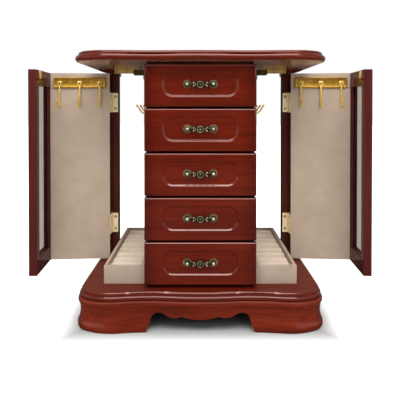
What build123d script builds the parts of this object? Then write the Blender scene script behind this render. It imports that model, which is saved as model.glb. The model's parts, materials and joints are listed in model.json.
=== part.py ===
from build123d import *
import os
from math import atan, cos, degrees, radians, sin

# Tabletop jewellery armoire: five drawers in a tower between two L-shaped swing doors,
# under a lift-up lid, on a serpentine base with bracket feet.
# Millimetres, +Z up, the front faces -Y. The origin is on the floor under the middle of the
# armoire with both doors standing open, as they do at rest.

os.makedirs("parts", exist_ok=True)

# Serpentine front: a central bow, a hollow on each side of it and a lobe near each corner
bow_rise = 2.8
lobe_rise = 3.4
lobe_inset = 24.5
hollow_spacing = 52.0
lobe_radius = 84.5
corner_turn = 24.0

# Base: a moulded skirt with bracket feet under a double-beaded board
base_side_margin = 25.0
base_depth = 203.0
skirt_height = 40.5
skirt_thickness = 14.0
foot_roll_height = 10.2
foot_roll_tuck = 1.6
neck_depth = 3.6
neck_height = 21.0
skirt_bead_height = 8.0
skirt_bead_inset = 0.6
lower_bead_height = 5.8
lower_bead_inset = 2.7
upper_bead_height = 4.9
upper_bead_inset = 5.0
bead_ease = 0.4
back_skirt_thickness = 10.0
glue_block_size = 22.0
glue_block_height = 24.0
glue_block_setback = 12.0

# Scalloped opening between the front feet, half of it, outwards from the middle
apron_middle_height = 16.8
cusp_x = 24.8
cusp_height = 20.6
dip_x = 36.5
dip_height = 18.4
arch_x = 53.5
arch_height = 24.8
foot_shoulder_x = 63.5
foot_shoulder_height = 20.5
foot_inner_x = 71.5
side_foot_length = 62.0
side_arch_height = 19.0
side_arch_radius = 12.0
back_foot_width = 70.0

# Drawer tower
drawer_count = 5
drawer_setback = 17.0
front_side_overlap = 2.1
front_height = 57.24
front_thickness = 12.0
front_gap = 2.4
front_lift = 4.4
front_round = 2.6
field_width = 101.0
field_height = 33.4
field_radius = 14.0
field_depth = 2.0
field_bevel = 45.0
field_rise = 1.3
tower_side_thickness = 6.5
tower_half_width = 73.0
tower_lining = 1.5
tower_back_thickness = 5.0
shelf_thickness = 3.0
well_depth = 22.0
well_lining = 1.5
well_rail_thickness = 7.0

# Drawer boxes
box_headroom = 15.64
top_box_headroom = 8.8
box_rear_gap = 10.0
box_wall = 5.0
box_floor = 3.0
box_floor_rise = 2.0
box_side_clearance = 0.8
runner_clearance = 0.3
shelf_rise = 1.0

# Cast pull on each drawer
pull_spacing = 34.8
rosette_petals = 8
petal_ring = 4.6
petal_radius = 1.75
petal_sides = 6
rosette_disc = 4.6
rosette_thickness = 1.6
pull_post_radius = 2.4
pull_ball_radius = 3.0
pull_bar_height = 2.6
pull_bar_thickness = 2.6
medallion_radius = 4.7
medallion_drop = 0.8
medallion_lift = 1.0
scroll_radius = 2.5
scroll_x = 7.6
scroll_rise = 1.0
pull_disc_sides = 16
pull_post_sides = 8
pull_ball_angle = 40.0

# Side case, doors and lid share these planes. A post on each side carries the door's hinges, with a
# cheek on its outside, and the thin rear panel of the side stands against the cheek
side_thickness = 8.6
rear_panel_thickness = 4.4
split_depth = 108.3
post_depth = 14.0
cheek_thickness = 4.4
cheek_depth = 10.0
cheek_setback = 1.2
rear_ledge = 2.0
lid_gap = 3.2

# Lid and the cove mouldings glued under its two side overhangs, over the fixed halves of the sides
lid_side_overhang = 30.0
lid_front_overhang = 16.6
lid_lower_height = 9.0
lid_upper_height = 4.6
lid_upper_inset = 4.0
lid_lower_round = 4.3
lid_upper_round = 3.4
cornice_height = 6.0
cornice_clearance = 0.6
cornice_edge_inset = 0.4
cornice_cove = 45.0
tower_top_clearance = 0.3

# Hinge rail across the back of the tower, which carries the lid
rail_thickness = 7.0
rail_height = 6.9
lid_knuckle_radius = 1.4
lid_knuckle_gap = 0.5
rail_end = 0.6
lid_hinge_gap = 2.0
lid_hinge_length = 26.0
lid_leaf_thickness = 0.6
lid_leaf_depth = 8.0

# Doors
door_open_angle = 86.4
door_setback = 1.3
door_frame_thickness = 12.0
door_panel_thickness = 7.0
door_lining = 1.6
door_band_lining = 0.9
door_floor_clearance = 1.2
door_top_clearance = 1.0
door_tower_clearance = 1.0
free_stile_width = 10.0
corner_stile_width = 10.0
door_rail_height = 22.5
glass_thickness = 2.0
glass_groove = 3.5
glass_clearance = 0.2
lining_edge_gap = 0.4
board_ease = 0.9

# Butt hinges of the doors
leaf_thickness = 0.9
leaf_gap = 0.4
leaf_height = 30.8
leaf_width = 8.2
knuckle_radius = 1.5
knuckle_standoff = 0.1
knuckle_end_gap = 0.3
pin_radius = 0.8
pin_clearance = 0.05
upper_hinge_drop = 46.2
lower_hinge_rise = 54.7
pin_end = 0.8

# Brass bracket on each post's front, which the lid rests on
bracket_length = 38.0
bracket_setback = 2.9
bracket_clearance = 0.6

# Necklace hook racks on the doors and on the tower's sides
hook_count = 3
hook_spacing = 31.2
hook_bar_length = 80.4
hook_bar_height = 16.0
hook_bar_thickness = 3.2
hook_bar_bevel = 0.9
hook_bar_top_drop = 7.2
hook_eye_radius = 3.6
hook_eye_thickness = 1.6
hook_eye_drop = 9.2
hook_rod_radius = 1.15
hook_stem_length = 38.2
hook_bend_radius = 3.2
hook_tip_length = 16.0
hook_tip_angle = 45.0
hook_rod_sides = 8
tower_rack_gap = 1.0
tower_rack_drop = 8.0

# Magnetic catches on the tower and their strikes on the doors
catch_width = 17.0
catch_length = 9.0
catch_height = 7.0
catch_drop = 6.5
catch_gap = 0.4
strike_length = 13.0
strike_width = 8.0
strike_thickness = 0.8
strike_inset = 14.0

# Hairline between the glued boards of a box or frame
glue_line = 0.05

# Ring trays on the base beside the tower
tray_width = 57.5
tray_height = 25.3
tray_wall = 4.0
tray_floor = 3.0
tray_clearance = 0.6
tray_rear_gap = 6.3
tray_seat_gap = 0.3
roll_count = 8
roll_height = 21.0
roll_slot = 1.6
roll_side_gap = 0.6

# Planes that follow from the sizes above
base_front = -base_depth / 2
base_rear = base_depth / 2
base_top = skirt_height + lower_bead_height + upper_bead_height
drawer_face = base_front + drawer_setback
front_back = drawer_face + front_thickness
case_rear = base_rear - rear_ledge
rail_front = case_rear - rail_thickness
split_y = drawer_face + split_depth
stack_bottom = base_top + front_lift
drawer_pitch = front_height + front_gap
stack_top = stack_bottom + drawer_count * front_height + (drawer_count - 1) * front_gap
lid_under = stack_top + lid_gap
tower_top = lid_under - tower_top_clearance
rail_top = lid_under - 2 * lid_knuckle_radius - lid_knuckle_gap
rail_bottom = rail_top - rail_height
tower_inner = tower_half_width - tower_side_thickness
tower_skin = tower_half_width + tower_lining
front_width = 2 * (tower_half_width + front_side_overlap)
tray_inner_x = tower_skin + tray_seat_gap
tray_outer_x = tray_inner_x + tray_width
case_half_width = tray_outer_x + tray_clearance + door_lining + door_panel_thickness
base_half_width = case_half_width + base_side_margin
lid_half_width = case_half_width + lid_side_overhang
lid_hinge_x = tower_skin + lid_hinge_gap + lid_hinge_length / 2
lobe_x = case_half_width - lobe_inset
hollow_x = lobe_x - hollow_spacing
well_floor_top = tower_top - well_depth
door_bottom = base_top + door_floor_clearance
door_top = lid_under - cornice_height - door_top_clearance
lid_axis_y = rail_front - lid_knuckle_radius / 2
lid_axis_z = rail_top + lid_knuckle_radius + lid_knuckle_gap / 2

# Door planes, measured outwards and forwards from the hinge axis with the door closed
hinge_gap = 2 * leaf_thickness + leaf_gap
axis_x = case_half_width + knuckle_radius + knuckle_standoff
axis_y = split_y - hinge_gap / 2
door_outer = -(knuckle_radius + knuckle_standoff)
panel_inner = door_outer - door_panel_thickness
lining_face = panel_inner - door_lining
door_back_edge = hinge_gap / 2
frame_front = axis_y - (drawer_face + door_setback)
frame_back = frame_front - door_frame_thickness
free_end = front_width / 2 + door_tower_clearance - axis_x
rack_z = door_top - hook_bar_top_drop - hook_bar_height / 2
band_bottom = rack_z - hook_bar_height / 2
upper_hinge_z = door_top - upper_hinge_drop
lower_hinge_z = door_bottom + lower_hinge_rise
catch_z = door_top - catch_drop


def save(builder, name):
    """Labels a finished piece and writes it."""
    builder.part.label = name
    export_step(builder.part, f"parts/{name}.step")


def middle(span):
    return (span[0] + span[1]) / 2


def board(x, y, z, mode=Mode.ADD):
    """A board between two limits on each axis, in the frame of the piece being built."""
    with Locations((middle(x), middle(y), middle(z))):
        Box(abs(x[1] - x[0]), abs(y[1] - y[0]), abs(z[1] - z[0]), mode=mode)


def front_line(half_width, front, inset):
    """Right half of the serpentine, from the middle of the front to the start of the side."""
    bow_turn = 2 * atan(bow_rise / hollow_x)
    lobe_turn = 2 * atan(lobe_rise / hollow_spacing)
    corner_sine = sin(radians(corner_turn))
    hollow_radius = hollow_spacing / sin(lobe_turn) - lobe_radius
    bow_radius = hollow_x / sin(bow_turn) - hollow_radius
    corner_radius = (half_width - lobe_x - lobe_radius * corner_sine) / (1 - corner_sine)
    bow_degrees = degrees(bow_turn)
    lobe_degrees = degrees(lobe_turn)
    middle_front = front + lobe_rise - bow_rise + inset
    bow = JernArc((0, middle_front), (1, 0), bow_radius - inset, bow_degrees)
    hollow = JernArc(bow @ 1, bow % 1, hollow_radius + inset, -(bow_degrees + lobe_degrees))
    lobe = JernArc(hollow @ 1, hollow % 1, lobe_radius - inset, lobe_degrees + corner_turn)
    return JernArc(lobe @ 1, lobe % 1, corner_radius - inset, 90 - corner_turn)


def serpentine_plan(half_width, front, rear, inset):
    """Plan of a moulded board with a serpentine front, straight sides and a straight back."""
    with BuildSketch() as plan:
        with BuildLine():
            corner = front_line(half_width, front, inset)
            Line(corner @ 1, (half_width - inset, rear))
            Line((half_width - inset, rear), (0, rear))
            mirror(about=Plane.YZ)
        make_face()
    return plan.sketch


def moulded_edges(builder, rear):
    """Level edges of a serpentine board, without those of its straight back."""
    level = builder.edges().filter_by(Plane.XY)
    return level.filter_by(lambda edge: edge.center().Y < rear - glue_line)


def skirt_ring():
    """Front and sides of the skirt: its moulded section swept round the serpentine."""
    with BuildPart() as ring:
        with BuildLine() as path:
            corner = front_line(base_half_width, base_front, 0)
            Line(corner @ 1, (base_half_width, base_rear))
        face_y = base_front + lobe_rise - bow_rise
        roll_top = face_y + foot_roll_tuck
        neck_top = skirt_height - skirt_bead_height
        bead_y = face_y + skirt_bead_inset
        with BuildSketch(Plane.YZ) as section:
            with BuildLine():
                Line((face_y + skirt_thickness, 0), (face_y + foot_roll_tuck, 0))
                ThreePointArc((roll_top, 0), (face_y, foot_roll_height / 2), (roll_top, foot_roll_height))
                ThreePointArc(
                    (roll_top, foot_roll_height),
                    (face_y + neck_depth, neck_height),
                    (bead_y + foot_roll_tuck, neck_top),
                )
                ThreePointArc(
                    (bead_y + foot_roll_tuck, neck_top),
                    (bead_y, skirt_height - skirt_bead_height / 2),
                    (bead_y + foot_roll_tuck, skirt_height),
                )
                Line((bead_y + foot_roll_tuck, skirt_height), (face_y + skirt_thickness, skirt_height))
                Line((face_y + skirt_thickness, skirt_height), (face_y + skirt_thickness, 0))
            make_face()
        sweep(path=path.wire())
        mirror(about=Plane.YZ)
    return ring.part


def apron_opening():
    """Scalloped opening between the front feet, as a sketch on the XZ plane."""
    with BuildSketch(Plane.XZ) as opening:
        with BuildLine():
            Line((0, -skirt_height), (0, apron_middle_height))
            TangentArc((0, apron_middle_height), (cusp_x, cusp_height), tangent=(1, 0))
            lobe = ThreePointArc(
                (cusp_x, cusp_height),
                (dip_x, dip_height),
                ((dip_x + arch_x) / 2, (dip_height + arch_height) / 2),
            )
            arch = TangentArc(lobe @ 1, (arch_x, arch_height), tangent=lobe % 1)
            shoulder = TangentArc(
                arch @ 1, (foot_shoulder_x, foot_shoulder_height), tangent=arch % 1
            )
            Line(shoulder @ 1, (foot_inner_x, 0))
            Line((foot_inner_x, 0), (foot_inner_x, -skirt_height))
            Line((foot_inner_x, -skirt_height), (0, -skirt_height))
        make_face()
        mirror(about=Plane.YZ)
    return opening.sketch


def bracket_opening(width):
    """Plain arch between two bracket feet, as a sketch centred on the floor line."""
    with BuildSketch() as opening:
        Rectangle(width, 2 * side_arch_height)
        fillet(opening.vertices(), side_arch_radius)
    return opening.sketch


def hook_rack(wall):
    """Bevelled bar with hanging hooks. The wall's plane has its origin behind the bar's middle."""
    with BuildPart() as rack:
        with BuildSketch(wall):
            Rectangle(hook_bar_length, hook_bar_height)
        extrude(amount=hook_bar_thickness)
        bar_front = rack.faces().sort_by(Axis(wall.origin, wall.z_dir))[-1]
        chamfer(bar_front.edges(), hook_bar_bevel)
        bar_face = hook_bar_thickness + glue_line
        eye_height = hook_bar_height / 2 - hook_eye_drop
        tip_out = hook_tip_length * cos(radians(hook_tip_angle))
        tip_up = hook_tip_length * sin(radians(hook_tip_angle))
        for index in range(hook_count):
            along = (index - (hook_count - 1) / 2) * hook_spacing
            rod_top = wall.from_local_coords((along, eye_height, bar_face + hook_rod_radius))
            with BuildSketch(wall.offset(bar_face)):
                with Locations((along, eye_height)):
                    Circle(hook_eye_radius)
            extrude(amount=hook_eye_thickness)
            with BuildLine(Plane(rod_top, x_dir=wall.z_dir, z_dir=wall.x_dir * -1)) as rod:
                FilletPolyline(
                    (0, 0),
                    (0, -hook_stem_length),
                    (tip_out, tip_up - hook_stem_length),
                    radius=hook_bend_radius,
                )
            with BuildSketch(Plane(rod_top, x_dir=wall.x_dir, z_dir=(0, 0, -1))):
                RegularPolygon(hook_rod_radius, hook_rod_sides)
            sweep(path=rod.wire())
    return rack


def wall_plane(origin, outward):
    """Plane of an upright wall that faces the given way, with +Y of the plane up."""
    return Plane(origin, x_dir=Vector(0, 0, 1).cross(outward), z_dir=outward)


def knuckle_spans(start, length, moving):
    """Stretches of a hinge's barrel: the middle third moves and the outer two are fixed."""
    third = length / 3
    if moving:
        return [(start + third + knuckle_end_gap, start + 2 * third - knuckle_end_gap)]
    return [(start, start + third), (start + 2 * third, start + length)]


def door_leaves(hinge_plane, side, moving):
    """Two butt-hinge leaves with their knuckles, on the door's edge or on the post with its bracket."""
    way = -side if moving else side
    leaf_y = (way * (hinge_gap / 2 - leaf_thickness), way * hinge_gap / 2)
    with BuildPart(hinge_plane) as leaves:
        for hinge_z in (lower_hinge_z, upper_hinge_z):
            leaf_bottom = hinge_z - leaf_height / 2
            board((door_outer - leaf_width, door_outer), leaf_y, (leaf_bottom, leaf_bottom + leaf_height))
            for low, high in knuckle_spans(leaf_bottom, leaf_height, moving):
                board((door_outer, 0), leaf_y, (low, high))
                with BuildSketch(hinge_plane.offset(low)):
                    Circle(knuckle_radius)
                extrude(amount=high - low)
        if not moving:
            bracket_end = door_outer - bracket_setback
            bracket_z = (door_top + bracket_clearance, tower_top)
            board((bracket_end - bracket_length, bracket_end), leaf_y, bracket_z)
        with BuildSketch(hinge_plane):
            Circle(pin_radius + pin_clearance)
        extrude(amount=door_top, mode=Mode.SUBTRACT)
    return leaves


def lid_leaves(moving):
    """Leaves of the two lid hinges, under the lid or on the front of the hinge rail."""
    plate_rear = lid_axis_y - lid_knuckle_radius - knuckle_end_gap
    with BuildPart() as leaves:
        for side in (-1, 1):
            start = side * lid_hinge_x - lid_hinge_length / 2
            plate_x = (start, start + lid_hinge_length)
            if moving:
                under_lid = (lid_under - lid_leaf_thickness, lid_under)
                board(plate_x, (plate_rear - lid_leaf_depth, plate_rear), under_lid)
            else:
                board(plate_x, (rail_front - lid_leaf_thickness, rail_front), (rail_bottom, rail_top))
            for low, high in knuckle_spans(start, lid_hinge_length, moving):
                if moving:
                    board((low, high), (plate_rear, lid_axis_y), under_lid)
                    board((low, high), (lid_axis_y - lid_leaf_thickness, lid_axis_y), (lid_axis_z, lid_under))
                else:
                    board((low, high), (rail_front - lid_leaf_thickness, rail_front), (rail_top, lid_axis_z))
                with BuildSketch(Plane.YZ.offset(low)):
                    with Locations((lid_axis_y, lid_axis_z)):
                        Circle(lid_knuckle_radius)
                extrude(amount=high - low)
        with BuildSketch(Plane.YZ):
            with Locations((lid_axis_y, lid_axis_z)):
                Circle(pin_radius + pin_clearance)
        extrude(amount=lid_half_width, both=True, mode=Mode.SUBTRACT)
    return leaves


# Base board: two beads, one over the other, each on the serpentine
with BuildPart() as base_board:
    with BuildSketch(Plane.XY.offset(skirt_height)):
        add(serpentine_plan(base_half_width, base_front, base_rear, lower_bead_inset))
    extrude(amount=lower_bead_height)
    fillet(moulded_edges(base_board, base_rear), lower_bead_height / 2 - bead_ease)
    with BuildSketch(Plane.XY.offset(skirt_height + lower_bead_height)):
        add(serpentine_plan(base_half_width, base_front, base_rear - rear_ledge, upper_bead_inset))
    extrude(amount=upper_bead_height)
    fillet(base_board.edges().group_by(Axis.Z)[-1], upper_bead_height / 2)
save(base_board, "base_board")

# Skirt: one swept moulding, mitred at the two front corners and cut out between the feet
moulding = skirt_ring()
mitre_x = base_half_width - skirt_thickness
mitre_y = base_front + skirt_thickness
right_mitre = Plane(origin=(mitre_x, mitre_y, 0), z_dir=(1, 1, 0))
left_mitre = Plane(origin=(-mitre_x, mitre_y, 0), z_dir=(-1, 1, 0))
with BuildPart() as base_skirt_front:
    add(moulding)
    split(bisect_by=right_mitre, keep=Keep.BOTTOM)
    split(bisect_by=left_mitre, keep=Keep.BOTTOM)
    with BuildSketch(Plane.XZ):
        add(apron_opening())
    extrude(amount=base_depth, both=True, mode=Mode.SUBTRACT)
save(base_skirt_front, "base_skirt_front")

for side_name, mitre in (("right", right_mitre), ("left", left_mitre)):
    with BuildPart() as base_skirt_side:
        add(moulding)
        split(bisect_by=mitre, keep=Keep.TOP)
        with BuildSketch(Plane.YZ):
            add(bracket_opening(base_depth - 2 * side_foot_length))
        extrude(amount=2 * base_half_width, both=True, mode=Mode.SUBTRACT)
    save(base_skirt_side, f"base_skirt_{side_name}")

with BuildPart() as base_skirt_back:
    board(
        (-mitre_x, mitre_x),
        (base_rear - back_skirt_thickness, base_rear),
        (0, skirt_height),
    )
    with BuildSketch(Plane.XZ):
        add(bracket_opening(2 * (base_half_width - back_foot_width)))
    extrude(amount=base_depth, both=True, mode=Mode.SUBTRACT)
save(base_skirt_back, "base_skirt_back")

# Triangular glue blocks that hold the skirt's corners under the board
with BuildPart() as base_glue_blocks:
    block_x = base_half_width - skirt_thickness
    with BuildLine(mode=Mode.PRIVATE):
        corner_end = front_line(base_half_width, base_front, 0) @ 1
    front_block_y = corner_end.Y + glue_block_setback
    back_block_y = base_rear - back_skirt_thickness
    with BuildSketch(Plane.XY.offset(skirt_height - glue_block_height)):
        for x_way in (-1, 1):
            for corner_y, y_way in ((front_block_y, 1), (back_block_y, -1)):
                with BuildLine():
                    Polyline(
                        (x_way * block_x, corner_y),
                        (x_way * (block_x - glue_block_size), corner_y),
                        (x_way * block_x, corner_y + y_way * glue_block_size),
                        close=True,
                    )
                make_face()
    extrude(amount=glue_block_height)
save(base_glue_blocks, "base_glue_blocks")

# Drawer tower: two sides, a back, shelves, and a lined well under the lid
for side_name, side in (("right", 1), ("left", -1)):
    with BuildPart() as tower_side:
        board((side * tower_inner, side * tower_half_width), (front_back, rail_front), (base_top, tower_top))
    save(tower_side, f"tower_side_{side_name}")

with BuildPart() as tower_back:
    board((-tower_inner, tower_inner), (rail_front - tower_back_thickness, rail_front), (base_top, tower_top))
save(tower_back, "tower_back")

# A shelf under each drawer, and one more as the floor of the well
shelf_x = (-tower_inner, tower_inner)
shelf_y = (front_back, rail_front - tower_back_thickness)
with BuildPart() as tower_shelves:
    for level in range(drawer_count):
        shelf_bottom = stack_bottom + level * drawer_pitch + shelf_rise
        board(shelf_x, shelf_y, (shelf_bottom, shelf_bottom + shelf_thickness))
    board(shelf_x, shelf_y, (well_floor_top - shelf_thickness, well_floor_top))
save(tower_shelves, "tower_shelves")

with BuildPart() as well_front_rail:
    board(shelf_x, (front_back, front_back + well_rail_thickness), (well_floor_top, tower_top))
save(well_front_rail, "well_front_rail")

with BuildPart() as well_pad:
    pad_y = (front_back + well_rail_thickness, shelf_y[1])
    board(shelf_x, pad_y, (well_floor_top, well_floor_top + well_lining))
save(well_pad, "well_pad")

with BuildPart() as tower_linings:
    for side in (-1, 1):
        board((side * tower_half_width, side * tower_skin), (front_back, rail_front), (base_top, tower_top))
save(tower_linings, "tower_linings")


def pull_plane(height):
    """Plane of a drawer's sunk field, +Z of the plane out of the front."""
    return Plane(origin=(0, drawer_face + field_depth, height), x_dir=(1, 0, 0), z_dir=(0, -1, 0))


# Drawers, numbered from the top
for number in range(1, drawer_count + 1):
    front_bottom = stack_bottom + (drawer_count - number) * drawer_pitch
    front_middle = front_bottom + front_height / 2
    field_middle = front_middle + field_rise

    with BuildPart() as drawer_front:
        board(
            (-front_width / 2, front_width / 2),
            (drawer_face, front_back),
            (front_bottom, front_bottom + front_height),
        )
        fillet(drawer_front.faces().sort_by(Axis.Y)[0].edges(), front_round)
        field_plane = Plane(origin=(0, drawer_face, field_middle), x_dir=(1, 0, 0), z_dir=(0, -1, 0))
        with BuildSketch(field_plane):
            RectangleRounded(field_width, field_height, field_radius)
        extrude(amount=-field_depth, taper=field_bevel, mode=Mode.SUBTRACT)
    save(drawer_front, f"drawer_front_{number}")

    box_half = tower_inner - box_side_clearance
    box_back = shelf_y[1] - box_rear_gap
    box_bottom = front_bottom + shelf_rise + shelf_thickness + runner_clearance
    box_top = box_bottom + drawer_pitch - box_headroom
    if number == 1:
        box_top = well_floor_top - shelf_thickness - top_box_headroom
    box_z = (box_bottom, box_top)
    floor_z = (box_bottom + box_floor_rise, box_bottom + box_floor_rise + box_floor)
    inner_half = box_half - box_wall
    between = (-inner_half + glue_line, inner_half - glue_line)
    floor_y = (front_back + box_wall + glue_line, box_back - box_wall - glue_line)
    with BuildPart() as drawer_box:
        for side in (-1, 1):
            board((side * inner_half, side * box_half), (front_back, box_back), box_z)
        board(between, (front_back, front_back + box_wall), box_z)
        board(between, (box_back - box_wall, box_back), box_z)
        board(between, floor_y, floor_z)
    save(drawer_box, f"drawer_box_{number}")

    post_height = pull_bar_height + pull_bar_thickness
    face = pull_plane(field_middle)
    posts = ((-pull_spacing / 2, 0), (pull_spacing / 2, 0))
    with BuildPart() as drawer_pull:
        with BuildSketch(face):
            with Locations(*posts):
                RegularPolygon(rosette_disc, pull_disc_sides)
                with PolarLocations(petal_ring, rosette_petals):
                    RegularPolygon(petal_radius, petal_sides)
        extrude(amount=rosette_thickness)
        with BuildSketch(face):
            with Locations(*posts):
                RegularPolygon(pull_post_radius, pull_post_sides)
        extrude(amount=post_height)
        with BuildSketch(face.offset(pull_bar_height)):
            Rectangle(pull_spacing, scroll_radius)
            with Locations((-scroll_x, scroll_rise), (scroll_x, scroll_rise)):
                RegularPolygon(scroll_radius, pull_post_sides)
        extrude(amount=pull_bar_thickness)
        with BuildSketch(face.offset(pull_bar_height)):
            with Locations((0, -medallion_drop)):
                RegularPolygon(medallion_radius, pull_disc_sides)
        extrude(amount=pull_bar_thickness + medallion_lift)
        for way in (-1, 1):
            with BuildSketch(face.offset(post_height)):
                with Locations(*posts):
                    RegularPolygon(pull_ball_radius, pull_disc_sides)
            extrude(amount=way * pull_ball_radius, taper=pull_ball_angle)
    save(drawer_pull, f"drawer_pull_{number}")

# Fixed rear halves of the case sides, each a post, a cheek and a panel, and the rail that carries the lid
for side_name, side in (("right", 1), ("left", -1)):
    with BuildPart() as side_panel:
        post_x = (side * (case_half_width - side_thickness), side * case_half_width)
        cheek_x = (side * (case_half_width + glue_line), side * (case_half_width + cheek_thickness))
        cheek_y = (split_y + cheek_setback, split_y + cheek_setback + cheek_depth)
        panel_start = case_half_width + cheek_thickness + glue_line
        panel_x = (side * panel_start, side * (panel_start + rear_panel_thickness))
        board(post_x, (split_y, split_y + post_depth), (base_top, tower_top))
        board(cheek_x, cheek_y, (base_top, door_top))
        board(panel_x, (cheek_y[0], rail_front), (base_top, door_top))
        fillet(side_panel.edges().filter_by(Axis.Z), board_ease)
    save(side_panel, f"side_panel_{side_name}")

with BuildPart() as hinge_rail:
    rail_half = lid_hinge_x + lid_hinge_length / 2 + rail_end
    board((-rail_half, rail_half), (rail_front, case_rear), (rail_bottom, rail_top))
    fillet(hinge_rail.edges().filter_by(Axis.X).group_by(Axis.Y)[-1], board_ease)
save(hinge_rail, "hinge_rail")

# Lid: a serpentine bullnose under a smaller quarter-round tier
lid_front = drawer_face - lid_front_overhang
with BuildPart() as lid:
    with BuildSketch(Plane.XY.offset(lid_under)):
        add(serpentine_plan(lid_half_width, lid_front, lid_axis_y, 0))
    extrude(amount=lid_lower_height)
    fillet(moulded_edges(lid, lid_axis_y), lid_lower_round)
    with BuildSketch(Plane.XY.offset(lid_under + lid_lower_height)):
        add(serpentine_plan(lid_half_width, lid_front, lid_axis_y - lid_upper_inset, lid_upper_inset))
    extrude(amount=lid_upper_height)
    fillet(lid.edges().group_by(Axis.Z)[-1], lid_upper_round)
save(lid, "lid")

cornice_inner = case_half_width + cornice_clearance
cornice_outer = lid_half_width - cornice_edge_inset - lid_lower_round
for side_name, side in (("right", 1), ("left", -1)):
    with BuildPart() as lid_cornice:
        with BuildSketch(Plane.XZ.offset(-split_y)):
            with BuildLine():
                foot = (side * cornice_inner, lid_under - cornice_height)
                top_inner = (side * cornice_inner, lid_under)
                top_outer = (side * cornice_outer, lid_under)
                Polyline(foot, top_inner, top_outer)
                RadiusArc(top_outer, foot, side * cornice_cove)
            make_face()
        extrude(amount=split_y - lid_axis_y)
    save(lid_cornice, f"lid_cornice_{side_name}")

# Doors: an L of a lined side panel and a glazed front frame, built from the hinge axis
turn_sine = sin(radians(door_open_angle))
turn_cosine = cos(radians(door_open_angle))
for side_name, side in (("right", 1), ("left", -1)):
    door_plane = Plane(
        origin=(side * axis_x, axis_y, 0),
        x_dir=(side * turn_cosine, turn_sine, 0),
        z_dir=(0, 0, 1),
    )

    def door_board(outward, forward, height, mode=Mode.ADD):
        """A board by its limits outwards and forwards from the hinge axis of this door."""
        board(outward, (-side * forward[0], -side * forward[1]), height, mode)

    door_z = (door_bottom, door_top)
    with BuildPart(door_plane) as door_panel:
        door_board((panel_inner, door_outer), (door_back_edge, frame_back), door_z)
        fillet(door_panel.edges().filter_by(Axis.Z), board_ease)
    save(door_panel, f"door_panel_{side_name}")

    free_inner = free_end + free_stile_width
    corner_inner = door_outer - corner_stile_width
    glass_middle = (frame_front + frame_back) / 2
    half_groove = glass_thickness / 2 + glass_clearance
    groove = (glass_middle - half_groove, glass_middle + half_groove)
    groove_z = (
        door_bottom + door_rail_height - glass_groove,
        door_top - door_rail_height + glass_groove,
    )
    groove_out = (free_inner - glass_groove, corner_inner + glass_groove)
    rail_out = (free_inner + glue_line, corner_inner - glue_line)
    frame_depth = (frame_back, frame_front)
    with BuildPart(door_plane) as door_frame:
        door_board((free_end, free_inner), frame_depth, door_z)
        door_board((corner_inner, door_outer), frame_depth, door_z)
        fillet(door_frame.edges().filter_by(Axis.Z), board_ease)
        door_board(rail_out, frame_depth, (door_bottom, door_bottom + door_rail_height))
        door_board(rail_out, frame_depth, (door_top - door_rail_height, door_top))
        door_board(groove_out, groove, groove_z, Mode.SUBTRACT)
    save(door_frame, f"door_frame_{side_name}")

    with BuildPart(door_plane) as door_glass:
        door_board(
            (groove_out[0] + glass_clearance, groove_out[1] - glass_clearance),
            (glass_middle - glass_thickness / 2, glass_middle + glass_thickness / 2),
            (groove_z[0] + glass_clearance, groove_z[1] - glass_clearance),
        )
    save(door_glass, f"door_glass_{side_name}")

    lining_forward = (door_back_edge + lining_edge_gap, frame_back)
    with BuildPart(door_plane) as door_lining_boards:
        door_board(
            (lining_face, panel_inner),
            lining_forward,
            (door_bottom + lining_edge_gap, band_bottom - lining_edge_gap),
        )
        door_board(
            (panel_inner - door_band_lining, panel_inner),
            lining_forward,
            (band_bottom, door_top - lining_edge_gap),
        )
    save(door_lining_boards, f"door_lining_{side_name}")

    rack_forward = (door_back_edge + frame_back) / 2
    band_face = panel_inner - door_band_lining
    rack_middle = door_plane.from_local_coords((band_face, -side * rack_forward, rack_z))
    save(hook_rack(wall_plane(rack_middle, door_plane.x_dir * -1)), f"door_hook_rack_{side_name}")

    strike_middle = door_plane.from_local_coords((free_end + strike_inset, -side * frame_back, catch_z))
    with BuildPart() as door_strike:
        with BuildSketch(wall_plane(strike_middle, door_plane.y_dir * side)):
            Ellipse(strike_width / 2, strike_length / 2)
        extrude(amount=strike_thickness)
    save(door_strike, f"door_strike_{side_name}")

    save(door_leaves(door_plane, side, True), f"door_hinge_leaves_{side_name}")

# Fixed sides of the hinges, and the pins of all of them
for side_name, side in (("right", 1), ("left", -1)):
    case_plane = Plane(origin=(side * axis_x, axis_y, 0), x_dir=(side, 0, 0), z_dir=(0, 0, 1))
    save(door_leaves(case_plane, side, False), f"case_hinge_leaves_{side_name}")

save(lid_leaves(True), "lid_hinge_leaves")
save(lid_leaves(False), "rail_hinge_leaves")

with BuildPart() as hinge_pins:
    for hinge_z in (lower_hinge_z, upper_hinge_z):
        with BuildSketch(Plane.XY.offset(hinge_z)):
            with Locations((-axis_x, axis_y), (axis_x, axis_y)):
                Circle(pin_radius)
        extrude(amount=leaf_height / 2 + pin_end, both=True)
    for side in (-1, 1):
        with BuildSketch(Plane.YZ.offset(side * lid_hinge_x)):
            with Locations((lid_axis_y, lid_axis_z)):
                Circle(pin_radius)
        extrude(amount=lid_hinge_length / 2 + pin_end, both=True)
save(hinge_pins, "hinge_pins")

# Hook racks and magnetic catches on the tower's sides
catch_front = axis_y - frame_back + strike_thickness + catch_gap
for side_name, side in (("right", 1), ("left", -1)):
    rack_y = catch_front + catch_length + tower_rack_gap + hook_bar_length / 2
    rack_middle = Vector(side * tower_skin, rack_y, rack_z - tower_rack_drop)
    tower_wall = wall_plane(rack_middle, Vector(side, 0, 0))
    save(hook_rack(tower_wall), f"tower_hook_rack_{side_name}")

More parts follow.
